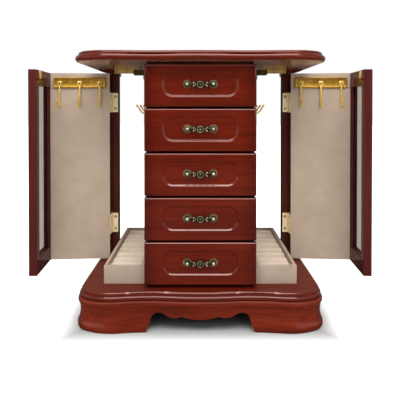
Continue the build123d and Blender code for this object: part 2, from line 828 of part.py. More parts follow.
with BuildPart() as door_catches:
    for side in (-1, 1):
        board(
            (side * tower_skin, side * (tower_skin + catch_width)),
            (catch_front, catch_front + catch_length),
            (catch_z - catch_height / 2, catch_z + catch_height / 2),
        )
    chamfer(door_catches.edges().filter_by(Axis.Y), board_ease)
save(door_catches, "door_catches")

# Ring trays: an open suede-covered box on each side of the tower, filled with padded rolls
tray_front = axis_y - frame_back + tray_clearance
tray_rear = case_rear - tray_rear_gap
tray_z = (base_top, base_top + tray_height)
bed_x = (tray_inner_x + tray_wall, tray_outer_x - tray_wall)
bed_y = (tray_front + tray_wall, tray_rear - tray_wall)
bed_z = base_top + tray_floor
roll_pitch = (bed_y[1] - bed_y[0]) / roll_count
for side_name, side in (("right", 1), ("left", -1)):
    with BuildPart() as ring_tray:
        long_y = (bed_y[0] + glue_line, bed_y[1] - glue_line)
        floor_x = (side * (bed_x[0] + glue_line), side * (bed_x[1] - glue_line))
        board((side * tray_inner_x, side * tray_outer_x), (tray_front, bed_y[0]), tray_z)
        board((side * tray_inner_x, side * tray_outer_x), (bed_y[1], tray_rear), tray_z)
        board((side * tray_inner_x, side * bed_x[0]), long_y, tray_z)
        board((side * bed_x[1], side * tray_outer_x), long_y, tray_z)
        board(floor_x, long_y, (base_top, bed_z))
    save(ring_tray, f"ring_tray_{side_name}")

    with BuildPart() as ring_rolls:
        roll_half = (roll_pitch - roll_slot) / 2
        shoulder_z = bed_z + roll_height - roll_half
        with BuildSketch(Plane.YZ.offset(side * (bed_x[0] + roll_side_gap))):
            for index in range(roll_count):
                roll_y = bed_y[0] + (index + 1 / 2) * roll_pitch
                with BuildLine():
                    Polyline(
                        (roll_y - roll_half, shoulder_z),
                        (roll_y - roll_half, bed_z),
                        (roll_y + roll_half, bed_z),
                        (roll_y + roll_half, shoulder_z),
                    )
                    ThreePointArc(
                        (roll_y + roll_half, shoulder_z),
                        (roll_y, bed_z + roll_height),
                        (roll_y - roll_half, shoulder_z),
                    )
                make_face()
        extrude(amount=side * (bed_x[1] - bed_x[0] - 2 * roll_side_gap))
    save(ring_rolls, f"ring_rolls_{side_name}")
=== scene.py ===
"""Tabletop jewelry armoire: lacquered wood, cast pulls, brass hook racks, suede trays and pads."""
import json
import math

import bpy
from mathutils import Matrix, Vector


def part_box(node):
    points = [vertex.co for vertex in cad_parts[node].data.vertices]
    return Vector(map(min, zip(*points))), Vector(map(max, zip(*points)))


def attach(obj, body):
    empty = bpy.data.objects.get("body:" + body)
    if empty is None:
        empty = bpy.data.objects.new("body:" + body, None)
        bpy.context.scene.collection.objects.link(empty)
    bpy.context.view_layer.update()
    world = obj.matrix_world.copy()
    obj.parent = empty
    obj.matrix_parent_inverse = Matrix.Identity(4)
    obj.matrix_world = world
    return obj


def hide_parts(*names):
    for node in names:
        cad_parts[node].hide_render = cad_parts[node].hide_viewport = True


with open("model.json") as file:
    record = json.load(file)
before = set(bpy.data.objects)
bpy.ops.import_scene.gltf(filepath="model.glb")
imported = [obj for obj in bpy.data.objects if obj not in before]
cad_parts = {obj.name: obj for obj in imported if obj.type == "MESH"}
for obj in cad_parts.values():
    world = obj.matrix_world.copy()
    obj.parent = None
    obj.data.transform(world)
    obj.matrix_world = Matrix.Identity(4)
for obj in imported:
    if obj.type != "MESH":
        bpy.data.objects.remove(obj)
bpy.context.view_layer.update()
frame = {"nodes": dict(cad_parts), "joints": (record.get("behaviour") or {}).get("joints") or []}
nodes = frame["nodes"]

MM = 0.001
SIDES = {"left": -1, "right": 1}
DRAWERS = (1, 2, 3, 4, 5)


# Where the frame puts things, in millimetres

def corners(node):
    """A frame node's lowest and highest corners."""
    low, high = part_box(node)
    return low / MM, high / MM


door_hinge = next(joint for joint in frame["joints"] if joint["name"] == "door_right_hinge")
DOOR_AXIS = Vector(door_hinge["pos_m"]) / MM
DOOR_ANGLE = math.radians(door_hinge["range_deg"][1])
LID_UNDER = corners("lid")[0].z


# Selecting and finishing

MERGE_DISTANCE = 0.01
FLAT_WITHIN = math.radians(0.4)
SHARP_OVER = math.radians(40)


def bare_selection():
    """Leaves edit mode and selects nothing."""
    if bpy.context.object and bpy.context.object.mode != "OBJECT":
        bpy.ops.object.mode_set(mode="OBJECT")
    bpy.ops.object.select_all(action="DESELECT")


def pick(obj):
    """Selects one object and makes it the active one."""
    bare_selection()
    obj.select_set(True)
    bpy.context.view_layer.objects.active = obj
    return obj


def settle(obj):
    """Puts an object's place, turn and size into its mesh."""
    pick(obj)
    bpy.ops.object.transform_apply(location=True, rotation=True, scale=True)
    return obj


def moved(x, y, z):
    """A matrix that moves a shape by these millimetres."""
    return Matrix.Translation(Vector((x, y, z)) * MM)


def set_down(obj, place):
    """Moves a finished shape to its place, given as a matrix."""
    obj.matrix_world = place @ obj.matrix_world
    return settle(obj)


def joined(parts, name):
    """One piece from several shapes."""
    bare_selection()
    for part in parts:
        part.select_set(True)
    bpy.context.view_layer.objects.active = parts[0]
    bpy.ops.object.join()
    whole = bpy.context.object
    whole.name = name
    whole.data.name = name
    return whole


def copy_of(obj, name):
    """A copy with a mesh of its own."""
    twin = bpy.data.objects.new(name, obj.data.copy())
    bpy.context.scene.collection.objects.link(twin)
    return twin


def smooth(obj, degrees=35):
    """Shades smoothly over edges blunter than this angle."""
    pick(obj)
    bpy.ops.object.shade_smooth_by_angle(angle=math.radians(degrees))
    return obj


def apply_modifier(obj, kind, **settings):
    """Adds a modifier with these settings and applies it."""
    pick(obj)
    modifier = obj.modifiers.new(kind.lower(), kind)
    for key, value in settings.items():
        setattr(modifier, key, value)
    bpy.ops.object.modifier_apply(modifier=modifier.name)
    return obj


def eased(obj, ease, segments=2):
    """Rounds the sharp edges of a shape by ease, in millimetres."""
    return apply_modifier(
        obj, "BEVEL", width=ease * MM, segments=segments, limit_method="ANGLE", angle_limit=SHARP_OVER)


def paint(obj, *finishes, use=0):
    """Gives a piece these finishes, and the one with this index to all its faces."""
    obj.data.materials.clear()
    for finish in finishes:
        obj.data.materials.append(finish)
    for face in obj.data.polygons:
        face.material_index = use
    return obj


def fit(obj, body, slot, *stands_for):
    """Hands a finished piece over to the body that carries it."""
    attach(obj, body)
    if stands_for:
        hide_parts(*stands_for)
    return obj


def eased_copy(node, name, ease, segments=2):
    """A merged copy of a frame node, with flat faces made whole and sharp edges rounded."""
    piece = copy_of(nodes[node], name)
    pick(piece)
    bpy.ops.object.mode_set(mode="EDIT")
    bpy.ops.mesh.select_all(action="SELECT")
    bpy.ops.mesh.remove_doubles(threshold=MERGE_DISTANCE * MM)
    bpy.ops.mesh.dissolve_limited(angle_limit=FLAT_WITHIN)
    bpy.ops.object.mode_set(mode="OBJECT")
    smooth(eased(piece, ease, segments))
    return apply_modifier(piece, "WEIGHTED_NORMAL", mode="FACE_AREA", weight=80, keep_sharp=True)


# Shapes that the pieces are made from

FACING_FRONT = Matrix.Rotation(math.radians(90), 4, "X")


def shifted(box, *by):
    """A box's two corners, moved by these millimetres."""
    return [Vector(corner) + Vector(by) for corner in box]


def block(low, high, ease=0, segments=3):
    """A box between two corners, in millimetres, with eased edges where ease is given."""
    low, high = Vector(low) * MM, Vector(high) * MM
    bare_selection()
    bpy.ops.mesh.primitive_cube_add(size=1, location=(low + high) / 2)
    shape = bpy.context.object
    shape.scale = high - low
    settle(shape)
    if ease:
        eased(shape, ease, segments)
    return shape


def bead(centre, size, turn=0.0):
    """A ball or egg of these half sizes, in millimetres, turned in the plane of the front."""
    bare_selection()
    bpy.ops.mesh.primitive_uv_sphere_add(segments=20, ring_count=12, radius=1)
    shape = bpy.context.object
    shape.scale = Vector(size) * MM
    settle(shape)
    return set_down(shape, moved(*centre) @ Matrix.Rotation(turn, 4, "Y"))


def turned_disc(centre, profile, facets=40):
    """A lathe shape that faces the front: profile is (radius, how far out), from the rim to the middle."""
    bare_selection()
    bpy.ops.mesh.primitive_circle_add(vertices=facets, radius=profile[0][0] * MM, fill_type="NOTHING")
    shape = bpy.context.object
    bpy.ops.object.mode_set(mode="EDIT")
    bpy.ops.mesh.select_all(action="SELECT")
    for (last_radius, last_out), (radius, out) in zip(profile, profile[1:]):
        bpy.ops.mesh.extrude_region_move(TRANSFORM_OT_translate={"value": (0, 0, (out - last_out) * MM)})
        shrink = radius / last_radius
        bpy.ops.transform.resize(value=(shrink, shrink, 1), center_override=(0, 0, 0))
    bpy.ops.mesh.edge_face_add()
    bpy.ops.mesh.select_all(action="SELECT")
    bpy.ops.mesh.normals_make_consistent(inside=False)
    bpy.ops.object.mode_set(mode="OBJECT")
    return set_down(shape, moved(*centre) @ FACING_FRONT)


def ring(centre, radius, thickness, lie_flat=False):
    """A round ring that faces the front, or lies flat."""
    bare_selection()
    bpy.ops.mesh.primitive_torus_add(
        major_segments=36, minor_segments=12, major_radius=radius * MM, minor_radius=thickness * MM)
    turn = Matrix.Identity(4) if lie_flat else FACING_FRONT
    return set_down(bpy.context.object, moved(*centre) @ turn)


def wire(points, radius):
    """A drawn wire along smooth points, in millimetres."""
    bare_selection()
    bpy.ops.curve.primitive_nurbs_path_add()
    line = bpy.context.object
    spline = line.data.splines[0]
    while len(spline.points) < len(points):
        spline.points.add(1)
    for dot, point in zip(spline.points, points):
        dot.co = (*(Vector(point) * MM), 1)
    spline.order_u = 3
    spline.use_endpoint_u = True
    spline.resolution_u = 6
    line.data.bevel_depth = radius * MM
    line.data.bevel_resolution = 4
    line.data.use_fill_caps = True
    bpy.ops.object.convert(target="MESH")
    return settle(bpy.context.object)


# Steps that the finishes are made from

def node_of(tree, kind, **inputs):
    """Adds a node and sets its plain inputs by name."""
    made = tree.nodes.new(kind)
    for name, value in inputs.items():
        made.inputs[name.replace("_", " ")].default_value = value
    return made


def maths(tree, operation, *sources):
    """One step of arithmetic on numbers and sockets."""
    step = tree.nodes.new("ShaderNodeMath")
    step.operation = operation
    for socket, source in zip(step.inputs, sources):
        if isinstance(source, float):
            socket.default_value = source
        else:
            tree.links.new(source, socket)
    return step.outputs[0]


def ranged(tree, source, low, high, start=0.0, stop=1.0, way="LINEAR"):
    """A value that goes from low to high while its source goes from start to stop."""
    spread = node_of(tree, "ShaderNodeMapRange", From_Min=start, From_Max=stop, To_Min=low, To_Max=high)
    spread.interpolation_type = way
    tree.links.new(source, spread.inputs["Value"])
    return spread.outputs["Result"]


def noise_of(tree, vector, stretch=None, **settings):
    """Noise over a vector, drawn out along its axes where stretch is given."""
    if stretch:
        drawn = tree.nodes.new("ShaderNodeVectorMath")
        drawn.operation = "MULTIPLY"
        drawn.inputs[1].default_value = stretch
        tree.links.new(vector, drawn.inputs[0])
        vector = drawn.outputs[0]
    noise = node_of(tree, "ShaderNodeTexNoise", **settings)
    tree.links.new(vector, noise.inputs["Vector"])
    return noise


def ramp(tree, source, *stops):
    """A colour that follows a value, from (place, colour) stops."""
    band = tree.nodes.new("ShaderNodeValToRGB")
    steps = band.color_ramp.elements
    while len(steps) < len(stops):
        steps.new(0.5)
    for step, (place, colour) in zip(steps, stops):
        step.position = place
        step.color = (*colour, 1)
    tree.links.new(source, band.inputs["Fac"])
    return band.outputs["Color"]


def darkened(tree, colour, share, stain, shade):
    """A colour taken towards a shade of the stain, by a share that changes over the surface."""
    mix = tree.nodes.new("ShaderNodeMix")
    mix.data_type = "RGBA"
    mix.inputs["B"].default_value = (*(channel * shade for channel in stain), 1)
    tree.links.new(share, mix.inputs["Factor"])
    tree.links.new(colour, mix.inputs["A"])
    return mix.outputs["Result"]


def object_axes(tree):
    """The X, Y and Z of a point in the object's own coordinates."""
    where = tree.nodes.new("ShaderNodeTexCoord")
    axes = tree.nodes.new("ShaderNodeSeparateXYZ")
    tree.links.new(where.outputs["Object"], axes.inputs[0])
    return axes.outputs


def bumped(tree, shader, source, strength, distance):
    """Raises the surface a little, by distance in millimetres."""
    bump = node_of(tree, "ShaderNodeBump", Strength=strength, Distance=distance * MM)
    tree.links.new(source, bump.inputs["Height"])
    tree.links.new(bump.outputs["Normal"], shader.inputs["Normal"])


def new_group(name, inputs, outputs):
    """An empty shader node group with named sockets."""
    tree = bpy.data.node_groups.new(name, "ShaderNodeTree")
    for label, kind, value in inputs:
        socket = tree.interface.new_socket(label, in_out="INPUT", socket_type="NodeSocket" + kind)
        if value is not None:
            socket.default_value = value
    for label in outputs:
        tree.interface.new_socket(label, in_out="OUTPUT", socket_type="NodeSocketFloat")
    return tree, tree.nodes.new("NodeGroupInput").outputs, tree.nodes.new("NodeGroupOutput").inputs


# Effects that several finishes share

BAND_STRETCH = (5.0, 55.0, 55.0)
STREAK_STRETCH = (14.0, 420.0, 420.0)
PORE_STRETCH = (110.0, 1900.0, 1900.0)
BAND_SHARE, STREAK_SHARE = 0.55, 0.45
FIGURE_RANGE = (0.33, 0.67)
PORE_RANGE = (0.60, 0.72)
THREAD_STRETCHES = ((90.0, 700.0, 900.0), (900.0, 700.0, 90.0))


def wood_figure_group():
    """Long grain along the first axis: broad bands, fine streaks and short pores."""
    tree, given, gives = new_group(
        "wood_figure",
        [("Vector", "Vector", None), ("Band Scale", "Float", 1.0), ("Streak Scale", "Float", 1.0)],
        ["Figure", "Pores", "Height"])
    link = tree.links.new
    bands = noise_of(tree, given["Vector"], BAND_STRETCH, Detail=3.0, Roughness=0.6, Distortion=0.7)
    streaks = noise_of(tree, given["Vector"], STREAK_STRETCH, Detail=5.0, Roughness=0.6, Distortion=0.3)
    pores = noise_of(tree, given["Vector"], PORE_STRETCH, Scale=1.0, Detail=2.0, Roughness=0.6)
    link(given["Band Scale"], bands.inputs["Scale"])
    link(given["Streak Scale"], streaks.inputs["Scale"])
    banded = maths(tree, "MULTIPLY", bands.outputs["Fac"], BAND_SHARE)
    figured = maths(tree, "MULTIPLY_ADD", streaks.outputs["Fac"], STREAK_SHARE, banded)
    link(ranged(tree, figured, 0.0, 1.0, *FIGURE_RANGE), gives["Figure"])
    link(ranged(tree, pores.outputs["Fac"], 0.0, 1.0, *PORE_RANGE), gives["Pores"])
    link(streaks.outputs["Fac"], gives["Height"])
    return tree


def nap_group():
    """Brushed suede: cloudy strokes, a fine fibre, and the threads of the cloth under the nap."""
    tree, given, gives = new_group(
        "suede_nap", [("Vector", "Vector", None)], ["Strokes", "Fibre", "Weave"])
    link = tree.links.new
    strokes = noise_of(tree, given["Vector"], Scale=38.0, Detail=4.0, Roughness=0.55)
    fibre = noise_of(tree, given["Vector"], Scale=1500.0, Detail=2.0, Roughness=0.7)
    link(strokes.outputs["Fac"], gives["Strokes"])
    link(fibre.outputs["Fac"], gives["Fibre"])
    threads = []
    for stretch in THREAD_STRETCHES:
        threads.append(noise_of(tree, given["Vector"], stretch, Scale=1.0, Detail=2.0).outputs["Fac"])
    link(maths(tree, "MAXIMUM", *threads), gives["Weave"])
    return tree


def brass_wear_group():
    """Handling marks on brass: soft clouding and fine rubbed lines."""
    tree, given, gives = new_group("brass_wear", [("Vector", "Vector", None)], ["Clouds", "Rub"])
    clouds = noise_of(tree, given["Vector"], Scale=170.0, Detail=3.0)
    rub = noise_of(tree, given["Vector"], Scale=2600.0, Detail=2.0)
    tree.links.new(clouds.outputs["Fac"], gives["Clouds"])
    tree.links.new(rub.outputs["Fac"], gives["Rub"])
    return tree


WOOD_FIGURE = wood_figure_group()
SUEDE_NAP = nap_group()
BRASS_WEAR = brass_wear_group()


# Finishes

GRAIN_X = (0, 0, 0)
GRAIN_Y = (0, 0, math.radians(-90))
GRAIN_Z = (0, math.radians(90), 0)
PORE_SHARE, PORE_SHADE = 0.25, 0.4
# How much the painted shade toward a piece's ends darkens the stain, and toward which shade
END_SHADE_SHARE, END_SHADE_DEPTH = 0.45, 0.2
LACQUER_TINT = (1.0, 0.50, 0.40, 1)
NAP_TINT = (0.9, 0.82, 0.74, 1)
PANE_TINT = (0.42, 0.39, 0.36, 1)
ANTIQUE_TONES = ((0.018, 0.017, 0.011), (0.060, 0.054, 0.034), (0.20, 0.17, 0.095))


def new_finish(name):
    """An empty material: its tree, its shader and a link function."""
    finish = bpy.data.materials.new(name)
    finish.use_nodes = True
    tree = finish.node_tree
    return finish, tree, tree.nodes["Principled BSDF"], tree.links.new


def set_shader(shader, **settings):
    """Sets the shader's plain sockets by name."""
    for name, value in settings.items():
        shader.inputs[name.replace("_", " ")].default_value = value


def placed_group(tree, group, turn=(0, 0, 0)):
    """A node group fed with Object coordinates, turned so that its first axis runs where it should."""
    where = tree.nodes.new("ShaderNodeTexCoord")
    mapping = node_of(tree, "ShaderNodeMapping", Rotation=turn)
    effect = tree.nodes.new("ShaderNodeGroup")
    effect.node_tree = group
    tree.links.new(where.outputs["Object"], mapping.inputs["Vector"])
    tree.links.new(mapping.outputs["Vector"], effect.inputs["Vector"])
    return effect.outputs


def lacquered_wood(name, turn, tones, gloss=(0.10, 0.18), coat=0.0, shine=0.5, painted_end_shade=None):
    """Stained wood; the last argument gives two distances from the middle between which the stain darkens as
    painted shade toward the ends.
    """
    dark, middle, light = tones
    finish, tree, shader, link = new_finish(name)
    figure = placed_group(tree, WOOD_FIGURE, turn)
    stain = ramp(tree, figure["Figure"], (0.0, dark), (0.5, middle), (1.0, light))
    pored = ranged(tree, figure["Pores"], 0.0, PORE_SHARE)
    stain = darkened(tree, stain, pored, dark, PORE_SHADE)
    # Painted shade: the colour darkens toward the ends, standing in for the shade on the rounded ends
    if painted_end_shade:
        start, stop = painted_end_shade
        off_middle = maths(tree, "ABSOLUTE", object_axes(tree)["X"])
        end_shade = ranged(tree, off_middle, 0.0, END_SHADE_SHARE, start * MM, stop * MM, "SMOOTHSTEP")
        stain = darkened(tree, stain, end_shade, dark, END_SHADE_DEPTH)
    link(stain, shader.inputs["Base Color"])
    link(ranged(tree, figure["Figure"], *gloss), shader.inputs["Roughness"])
    set_shader(shader, Coat_Weight=coat, Coat_Roughness=0.05)
    set_shader(shader, Specular_IOR_Level=shine, Specular_Tint=LACQUER_TINT)
    bumped(tree, shader, figure["Height"], strength=0.05, distance=0.2)
    return finish


def suede(name, dark, light, weave):
    """Brushed suede between two tones; weave is how far the threads under it show."""
    finish, tree, shader, link = new_finish(name)
    nap = placed_group(tree, SUEDE_NAP)
    stroked = maths(tree, "MULTIPLY_ADD", nap["Weave"], weave, nap["Strokes"])
    link(ramp(tree, stroked, (0.3, dark), (0.7 + weave / 2, light)), shader.inputs["Base Color"])
    link(ranged(tree, nap["Fibre"], 0.8, 1.0), shader.inputs["Roughness"])
    set_shader(shader, Sheen_Weight=0.2, Sheen_Roughness=0.45, Sheen_Tint=NAP_TINT, Specular_IOR_Level=0.1)
    bumped(tree, shader, nap["Fibre"], strength=0.25, distance=0.3)
    return finish


def brass(name, dark, light, rough, metal=1.0):
    """Brass clouded between two tones, rubbed between two roughnesses."""
    finish, tree, shader, link = new_finish(name)
    wear = placed_group(tree, BRASS_WEAR)
    link(ramp(tree, wear["Clouds"], (0.3, dark), (0.7, light)), shader.inputs["Base Color"])
    link(ranged(tree, wear["Rub"], *rough), shader.inputs["Roughness"])
    set_shader(shader, Metallic=metal)
    bumped(tree, shader, wear["Rub"], strength=0.05, distance=0.1)
    return finish


def antique_brass(name):
    """Cast brass gone dark, with paler clouds where hands have rubbed it."""
    finish, tree, shader, link = new_finish(name)
    wear = placed_group(tree, BRASS_WEAR)
    clouded = ramp(tree, wear["Clouds"], *zip((0.35, 0.6, 0.8), ANTIQUE_TONES))
    link(clouded, shader.inputs["Base Color"])
    link(ranged(tree, wear["Rub"], 0.25, 0.4), shader.inputs["Roughness"])
    set_shader(shader, Metallic=0.9)
    bumped(tree, shader, wear["Clouds"], strength=0.15, distance=0.3)
    return finish


def clear_pane(name):
    """Window glass, faintly clouded."""
    finish, tree, shader, link = new_finish(name)
    wear = placed_group(tree, BRASS_WEAR)
    link(ranged(tree, wear["Clouds"], 0.0, 0.04), shader.inputs["Roughness"])
    set_shader(shader, Base_Color=PANE_TINT, Transmission_Weight=1.0, IOR=1.5)
    return finish


FRONT_TONES = ((0.070, 0.0046, 0.0013), (0.106, 0.0080, 0.0018), (0.146, 0.0120, 0.0028))
CASE_TONES = ((0.080, 0.008, 0.003), (0.106, 0.011, 0.004), (0.132, 0.015, 0.006))
# The skirts' tones are lighter than the case's, partly painted light making up for the sheen their lower
# coat gives up
SKIRT_TONES_AND_LIGHT = ((0.085, 0.0090, 0.0034), (0.150, 0.0166, 0.0056), (0.212, 0.0270, 0.0090))
DOOR_TONES = ((0.054, 0.010, 0.009), (0.072, 0.014, 0.012), (0.090, 0.019, 0.016))
POST_TONES = ((0.055, 0.013, 0.009), (0.072, 0.017, 0.012), (0.088, 0.021, 0.015))
INNER_TONES = ((0.060, 0.022, 0.013), (0.105, 0.040, 0.022), (0.150, 0.062, 0.034))
# The lid's underside is a lighter tan, partly a painted reflection of the tan suede linings below it
UNDER_TONES_AND_REFLECTION = ((0.225, 0.100, 0.046), (0.272, 0.126, 0.060), (0.325, 0.157, 0.078))
# The drawer fronts carry painted shade toward their left and right ends
front_wood = lacquered_wood("mahogany_front", GRAIN_X, FRONT_TONES, coat=1.0, painted_end_shade=(52, 75))
case_wood = lacquered_wood("mahogany_long", GRAIN_X, CASE_TONES, coat=1.0)
level_wood = lacquered_wood("mahogany_level", GRAIN_X, CASE_TONES, gloss=(0.25, 0.35), coat=0.1, shine=0.2)
side_wood = lacquered_wood("mahogany_depth", GRAIN_Y, CASE_TONES, coat=1.0)
lid_wood = lacquered_wood("mahogany_lid", GRAIN_X, CASE_TONES, coat=0.45)
skirt_wood = lacquered_wood("mahogany_skirt", GRAIN_X, SKIRT_TONES_AND_LIGHT, coat=0.5)
skirt_end_wood = lacquered_wood("mahogany_skirt_end", GRAIN_Y, SKIRT_TONES_AND_LIGHT, coat=0.5)
door_wood = lacquered_wood("mahogany_upright", GRAIN_Z, DOOR_TONES, coat=0.05, shine=0.2)
post_wood = lacquered_wood("mahogany_post", GRAIN_Z, POST_TONES, gloss=(0.5, 0.6), shine=0.05)
inner_wood = lacquered_wood("inner_wood_satin", GRAIN_Y, INNER_TONES, gloss=(0.45, 0.6))
under_wood_and_reflection = lacquered_wood("mahogany_underside", GRAIN_X, UNDER_TONES_AND_REFLECTION, gloss=(0.10, 0.16), shine=0.3)
grey_suede = suede("suede_taupe", (0.398, 0.307, 0.229), (0.466, 0.366, 0.278), 0.2)
pale_suede = suede("suede_pale", (0.335, 0.252, 0.190), (0.435, 0.340, 0.266), 0.35)
# The rolls' suede is lighter as painted light, since the lid and drawers shade the trays
lit_roll_suede = suede("suede_rolls", (0.560, 0.450, 0.355), (0.660, 0.545, 0.440), 0.2)
bright_brass = brass("brass_polished", (0.44, 0.22, 0.02), (0.66, 0.36, 0.05), (0.22, 0.32), 0.7)
gilt_brass_and_painted_light = brass("brass_gilt", (0.86, 0.54, 0.11), (0.98, 0.68, 0.20), (0.22, 0.32), 0.5)
# Pale, nearly matt brass for hinges and their screws, brightened toward white as painted light against the
# lid's shade on the plates
pale_brass_and_painted_light = brass("brass_plates", (0.92, 0.74, 0.44), (1.0, 0.84, 0.54), (0.32, 0.44), 0.1)
rubbed_brass = brass("brass_rubbed", (0.62, 0.54, 0.32), (0.88, 0.78, 0.50), (0.24, 0.36), 0.6)
worn_brass = brass("brass_worn", (0.30, 0.26, 0.14), (0.54, 0.47, 0.27), (0.28, 0.4), 0.7)
# Dull dark brass for the catches and rivets, and as painted shade in screw slots and around screw heads
slot_shade_and_dull_brass = brass("brass_slots", (0.05, 0.03, 0.012), (0.10, 0.06, 0.02), (0.4, 0.6))
dark_brass = antique_brass("brass_antique")
pane = clear_pane("glass_clear")


# Camera, with its place in millimetres and its angle in degrees

CAMERA_PLACE = (0, -577.44, 291.5)
CAMERA_DIP = 0.5
CAMERA_SENSOR, CAMERA_LENS = 36, 33.398
CAMERA_SHIFT = (-0.0008, -0.2202)

bpy.ops.object.camera_add(location=Vector(CAMERA_PLACE) * MM, rotation=(math.radians(90 - CAMERA_DIP), 0, 0))
camera = bpy.context.object
camera.data.sensor_width = CAMERA_SENSOR
camera.data.lens = CAMERA_LENS
camera.data.shift_x, camera.data.shift_y = CAMERA_SHIFT
camera.data.clip_start = 0.01
bpy.context.scene.camera = camera


# Floor: white to the eye, with a painted shadow under and beside the base, and dim in the lacquer; distances
# are from the base's edge

FLOOR_SIZE = 12
BASE_HALF_WIDTH, BASE_HALF_DEPTH = 166.0, 101.5
GLOW_START, GLOW_STOP = -5.0, 55.0
# Where the painted shadow starts and stops, and the floor's colour in it and clear of it
SHADE_START, SHADE_STOP = -40.0, 30.0
SHADED, UNSHADED = 0.10, 0.84
GLOW_IN_LACQUER = 0.02
LOST_IN_LACQUER = 0.93


def floor_finish():
    """A matt white that glows for the eye away from the base, so the shadow beside the base stays, and whose
    colour carries a painted shadow under and beside the base.
    """
    finish, tree, shader, link = new_finish("floor_white")
    ray = tree.nodes.new("ShaderNodeLightPath").outputs
    axes = object_axes(tree)
    beside = maths(tree, "SUBTRACT", maths(tree, "ABSOLUTE", axes["X"]), BASE_HALF_WIDTH * MM)
    before = maths(tree, "SUBTRACT", maths(tree, "ABSOLUTE", axes["Y"]), BASE_HALF_DEPTH * MM)
    off_base = maths(tree, "MAXIMUM", beside, before)
    in_lacquer = maths(tree, "MULTIPLY", ray["Is Glossy Ray"], GLOW_IN_LACQUER)
    seen = maths(tree, "MAXIMUM", ray["Is Camera Ray"], in_lacquer)
    seen = maths(tree, "MAXIMUM", seen, ray["Is Transmission Ray"])
    glow = ranged(tree, off_base, 0.0, 1.0, GLOW_START * MM, GLOW_STOP * MM, "SMOOTHSTEP")
    # Painted shadow: the floor's colour darkens under and beside the base
    shade = ranged(tree, off_base, SHADED, UNSHADED, SHADE_START * MM, SHADE_STOP * MM, "SMOOTHSTEP")
    kept = maths(tree, "SUBTRACT", 1.0, maths(tree, "MULTIPLY", ray["Is Glossy Ray"], LOST_IN_LACQUER))
    level = maths(tree, "MULTIPLY", shade, kept)
    tint = tree.nodes.new("ShaderNodeCombineXYZ")
    for socket in tint.inputs:
        link(level, socket)
    link(tint.outputs[0], shader.inputs["Base Color"])
    link(maths(tree, "MULTIPLY", seen, glow), shader.inputs["Emission Strength"])
    set_shader(shader, Roughness=0.9, Specular_IOR_Level=0.0, Emission_Color=(1, 1, 1, 1))
    return finish


bare_selection()
bpy.ops.mesh.primitive_plane_add(size=FLOOR_SIZE)
floor = bpy.context.object
floor.name = "floor"
paint(floor, floor_finish())


# Room light: white to the eye, and in the lacquer darker in front of the armoire than behind it

ROOM_LIGHT = 0.47
IN_FRONT, BEHIND = 0.06, 0.38
FRONT_WAY, BEHIND_WAY = -0.75, 0.35


def light_room():
    """The world's light, by the kind of ray that meets it."""
    world = bpy.data.worlds.new("studio")
    bpy.context.scene.world = world
    world.use_nodes = True
    tree = world.node_tree
    link = tree.links.new
    ray = tree.nodes.new("ShaderNodeLightPath").outputs
    toward = tree.nodes.new("ShaderNodeTexCoord")
    axes = tree.nodes.new("ShaderNodeSeparateXYZ")
    link(toward.outputs["Generated"], axes.inputs[0])
    by_gloss = node_of(tree, "ShaderNodeMix", A=ROOM_LIGHT)
    link(ray["Is Glossy Ray"], by_gloss.inputs["Factor"])
    link(ranged(tree, axes.outputs["Y"], IN_FRONT, BEHIND, FRONT_WAY, BEHIND_WAY), by_gloss.inputs["B"])
    by_sight = node_of(tree, "ShaderNodeMix", B=1.0)
    straight = maths(tree, "MAXIMUM", ray["Is Camera Ray"], ray["Is Transmission Ray"])
    link(straight, by_sight.inputs["Factor"])
    link(by_gloss.outputs["Result"], by_sight.inputs["A"])
    background = tree.nodes["Background"]
    background.inputs["Color"].default_value = (1, 1, 1, 1)
    link(by_sight.outputs["Result"], background.inputs["Strength"])


def soft_box(name, place, aim, width, height, power):
    """A rectangular lamp, in metres and watts, turned to a point that it aims at."""
    bare_selection()
    bpy.ops.object.light_add(type="AREA", location=place)
    lamp = bpy.context.object
    lamp.name = name
    lamp.data.shape = "RECTANGLE"
    lamp.data.size = width
    lamp.data.size_y = height
    lamp.data.energy = power
    lamp.rotation_euler = (Vector(aim) - Vector(place)).to_track_quat("-Z", "Y").to_euler()


bpy.context.scene.view_settings.view_transform = "Standard"
light_room()
soft_box("high_box", (0.0, -0.67, 1.30), aim=(0, -0.08, 0.2), width=1.3, height=0.7, power=18)
for hand, side in SIDES.items():
    soft_box(f"{hand}_box", (side * 1.6, -1.4, 0.36), aim=(0, 0, 0.2), width=2.0, height=0.9, power=3.5)
soft_box("front_strip", (0.0, -1.3, 0.85), aim=(0, 0, 0.1), width=2.2, height=0.25, power=4)
soft_box("back_box", (0.0, 1.3, 1.9), aim=(0, 0, 0.2), width=1.6, height=1.0, power=12)


# Lacquered boards

LEVEL_FACE = 0.98


def boards(names, finish, body, ease, slot="mahogany", segments=2):
    """Eased copies of the frame's boards, in one finish."""
    for name in names:
        piece = eased_copy(name, name + "_board", ease, segments)
        paint(piece, finish)
        fit(piece, body, slot, name)


def finish_level(name, finish, facing):
    """Gives a board's top, or its underside where facing is -1, a finish of its own."""
    board = bpy.data.objects[name]
    board.data.materials.append(finish)
    for face in board.data.polygons:
        if face.normal.z * facing > LEVEL_FACE:
            face.material_index = 1


boards(["base_board", "hinge_rail", "well_front_rail"], case_wood, "case", ease=0.4)
boards(["base_skirt_front", "base_skirt_back"], skirt_wood, "case", ease=0.4)
boards(["base_skirt_left", "base_skirt_right"], skirt_end_wood, "case", ease=0.4)
boards(["side_panel_left", "side_panel_right"], post_wood, "case", ease=0.6)
boards(["tower_side_left", "tower_side_right"], door_wood, "case", ease=0.6)
boards(["tower_back"], door_wood, "case", ease=0.4)
boards(["lid"], lid_wood, "lid", ease=0.3)
boards(["lid_cornice_left", "lid_cornice_right"], side_wood, "lid", ease=0.4)
